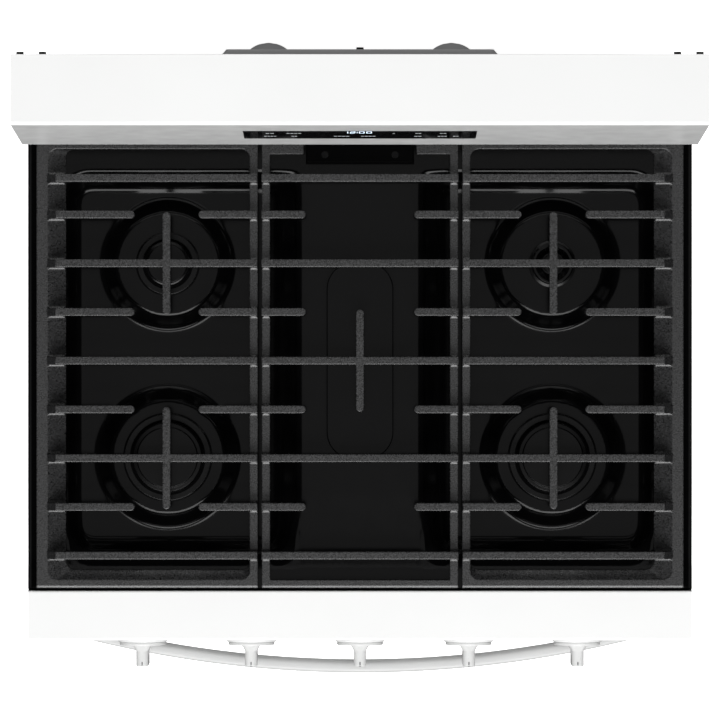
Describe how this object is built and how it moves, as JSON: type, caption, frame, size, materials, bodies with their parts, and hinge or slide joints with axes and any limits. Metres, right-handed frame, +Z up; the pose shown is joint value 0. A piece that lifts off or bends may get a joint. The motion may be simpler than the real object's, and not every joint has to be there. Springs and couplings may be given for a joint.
{
  "type": "freestanding gas range",
  "caption": "White freestanding gas range with black recessed cooktop, continuous cast-iron grates, front control knobs, oven with bow-handled door, storage drawer and tall backguard.",
  "frame": {"origin": "on the floor, under the middle of the range's bounding box", "axes": "+X to the right of a user who faces the range, +Y to the wall behind it, +Z up"},
  "size_m": [0.759, 0.712, 1.193],
  "materials": {
    "white_enamel": "glossy white porcelain enamel on steel",
    "black_enamel": "glossy black porcelain enamel on steel",
    "oven_enamel": "speckled dark grey oven enamel",
    "cast_iron": "textured matte black enamel on cast iron",
    "burner_head": "cast aluminium, darkened",
    "burner_cap": "satin black enamel",
    "knob_plastic": "glossy white moulded plastic",
    "handle_plastic": "glossy white painted bar",
    "dark_glass": "smoked oven window glass",
    "display_glass": "black touch panel with a lit clock",
    "galvanised": "galvanised steel sheet",
    "rear_steel": "grey coated steel cover",
    "frame_black": "black painted steel",
    "chrome_wire": "chromed wire",
    "die_cast": "die-cast alloy",
    "black_steel_pipe": "black iron pipe",
    "tube_metal": "bare aluminium tube",
    "gasket_fibre": "braided glass fibre",
    "insulation_fibre": "mineral fibre blanket",
    "ceramic": "white igniter ceramic",
    "circuit_board": "populated circuit board",
    "foot_plastic": "black moulded foot",
    "screw_black": "black screw heads"
  },
  "bodies": {
    "range_body": {"side_panel_left": "white_enamel", "side_panel_right": "white_enamel", "base_frame": "frame_black", "rear_panel": "galvanised", "levelling_legs": "foot_plastic", "oven_liner": "oven_enamel", "oven_front_frame": "oven_enamel", "insulation_blanket": "insulation_fibre", "oven_floor_panel": "oven_enamel", "bake_burner": "galvanised", "broil_burner": "galvanised", "flue_duct": "galvanised", "rack_guides": "chrome_wire", "door_gasket": "gasket_fibre", "drawer_runners": "galvanised", "cooktop": "black_enamel", "oven_vent_trim": "black_enamel", "spark_electrodes": "ceramic", "control_panel": "white_enamel", "valve_bodies": "die_cast", "gas_manifold": "black_steel_pipe", "pressure_regulator": "die_cast", "burner_tubes": "tube_metal", "backguard_cover": "white_enamel", "display_glass": "display_glass", "control_board": "circuit_board", "backguard_rear_cover": "rear_steel", "screws": "screw_black", "burner_head_front_left": "burner_head", "burner_head_front_right": "burner_head", "burner_head_rear_left": "burner_head", "burner_head_rear_right": "burner_head", "burner_head_centre": "burner_head"},
    "oven_door": {"door_outer_panel": "white_enamel", "door_inner_panel": "black_enamel", "door_window_glass": "dark_glass", "door_hinges": "galvanised", "door_handle": "handle_plastic"},
    "storage_drawer": {"drawer_front": "white_enamel", "drawer_box": "galvanised"},
    "left_grate": {"grate_left": "cast_iron"},
    "centre_grate": {"grate_centre": "cast_iron"},
    "right_grate": {"grate_right": "cast_iron"},
    "lower_rack": {"oven_rack_lower": "chrome_wire"},
    "upper_rack": {"oven_rack_upper": "chrome_wire"},
    "valve_rotor_1": {"valve_stem_1": "die_cast"},
    "control_knob_1": {"knob_1": "knob_plastic"},
    "valve_rotor_2": {"valve_stem_2": "die_cast"},
    "control_knob_2": {"knob_2": "knob_plastic"},
    "valve_rotor_3": {"valve_stem_3": "die_cast"},
    "control_knob_3": {"knob_3": "knob_plastic"},
    "valve_rotor_4": {"valve_stem_4": "die_cast"},
    "control_knob_4": {"knob_4": "knob_plastic"},
    "valve_rotor_5": {"valve_stem_5": "die_cast"},
    "control_knob_5": {"knob_5": "knob_plastic"},
    "front_left_cap": {"burner_cap_front_left": "burner_cap"},
    "front_right_cap": {"burner_cap_front_right": "burner_cap"},
    "rear_left_cap": {"burner_cap_rear_left": "burner_cap"},
    "rear_right_cap": {"burner_cap_rear_right": "burner_cap"},
    "centre_cap": {"burner_cap_centre": "burner_cap"}
  },
  "joints": [
    {"name": "oven_door_hinge", "type": "hinge", "parent": "range_body", "child": "oven_door", "pos_m": [0, -0.297, 0.236], "axis": [1, 0, 0], "range_deg": [0, 90]},
    {"name": "storage_drawer_slide", "type": "slide", "parent": "range_body", "child": "storage_drawer", "axis": [0, -1, 0], "range_m": [0, 0.38]},
    {"name": "knob_1_turn", "type": "hinge", "parent": "range_body", "child": "valve_rotor_1", "pos_m": [-0.25, -0.3, 0.87], "axis": [0, -1, 0], "range_deg": [0, 225]},
    {"name": "knob_1_push", "type": "slide", "parent": "valve_rotor_1", "child": "control_knob_1", "axis": [0, 1, 0], "range_m": [0, 0.003], "stiffness_N_per_m": 800, "springref_m": -0.003},
    {"name": "knob_2_turn", "type": "hinge", "parent": "range_body", "child": "valve_rotor_2", "pos_m": [-0.125, -0.3, 0.87], "axis": [0, -1, 0], "range_deg": [0, 225]},
    {"name": "knob_2_push", "type": "slide", "parent": "valve_rotor_2", "child": "control_knob_2", "axis": [0, 1, 0], "range_m": [0, 0.003], "stiffness_N_per_m": 800, "springref_m": -0.003},
    {"name": "knob_3_turn", "type": "hinge", "parent": "range_body", "child": "valve_rotor_3", "pos_m": [0, -0.3, 0.87], "axis": [0, -1, 0], "range_deg": [0, 225]},
    {"name": "knob_3_push", "type": "slide", "parent": "valve_rotor_3", "child": "control_knob_3", "axis": [0, 1, 0], "range_m": [0, 0.003], "stiffness_N_per_m": 800, "springref_m": -0.003},
    {"name": "knob_4_turn", "type": "hinge", "parent": "range_body", "child": "valve_rotor_4", "pos_m": [0.125, -0.3, 0.87], "axis": [0, -1, 0], "range_deg": [0, 225]},
    {"name": "knob_4_push", "type": "slide", "parent": "valve_rotor_4", "child": "control_knob_4", "axis": [0, 1, 0], "range_m": [0, 0.003], "stiffness_N_per_m": 800, "springref_m": -0.003},
    {"name": "knob_5_turn", "type": "hinge", "parent": "range_body", "child": "valve_rotor_5", "pos_m": [0.25, -0.3, 0.87], "axis": [0, -1, 0], "range_deg": [0, 225]},
    {"name": "knob_5_push", "type": "slide", "parent": "valve_rotor_5", "child": "control_knob_5", "axis": [0, 1, 0], "range_m": [0, 0.003], "stiffness_N_per_m": 800, "springref_m": -0.003},
    {"name": "left_grate_lift", "type": "slide", "parent": "range_body", "child": "left_grate", "axis": [0, 0, 1], "range_m": [0, 0.05]},
    {"name": "centre_grate_lift", "type": "slide", "parent": "range_body", "child": "centre_grate", "axis": [0, 0, 1], "range_m": [0, 0.05]},
    {"name": "right_grate_lift", "type": "slide", "parent": "range_body", "child": "right_grate", "axis": [0, 0, 1], "range_m": [0, 0.05]},
    {"name": "front_left_cap_lift", "type": "slide", "parent": "range_body", "child": "front_left_cap", "axis": [0, 0, 1], "range_m": [0, 0.004]},
    {"name": "front_right_cap_lift", "type": "slide", "parent": "range_body", "child": "front_right_cap", "axis": [0, 0, 1], "range_m": [0, 0.004]},
    {"name": "rear_left_cap_lift", "type": "slide", "parent": "range_body", "child": "rear_left_cap", "axis": [0, 0, 1], "range_m": [0, 0.004]},
    {"name": "rear_right_cap_lift", "type": "slide", "parent": "range_body", "child": "rear_right_cap", "axis": [0, 0, 1], "range_m": [0, 0.004]},
    {"name": "centre_cap_lift", "type": "slide", "parent": "range_body", "child": "centre_cap", "axis": [0, 0, 1], "range_m": [0, 0.005]},
    {"name": "lower_rack_slide", "type": "slide", "parent": "range_body", "child": "lower_rack", "axis": [0, -1, 0], "range_m": [0, 0.025]},
    {"name": "upper_rack_slide", "type": "slide", "parent": "range_body", "child": "upper_rack", "axis": [0, -1, 0], "range_m": [0, 0.025]}
  ]
}
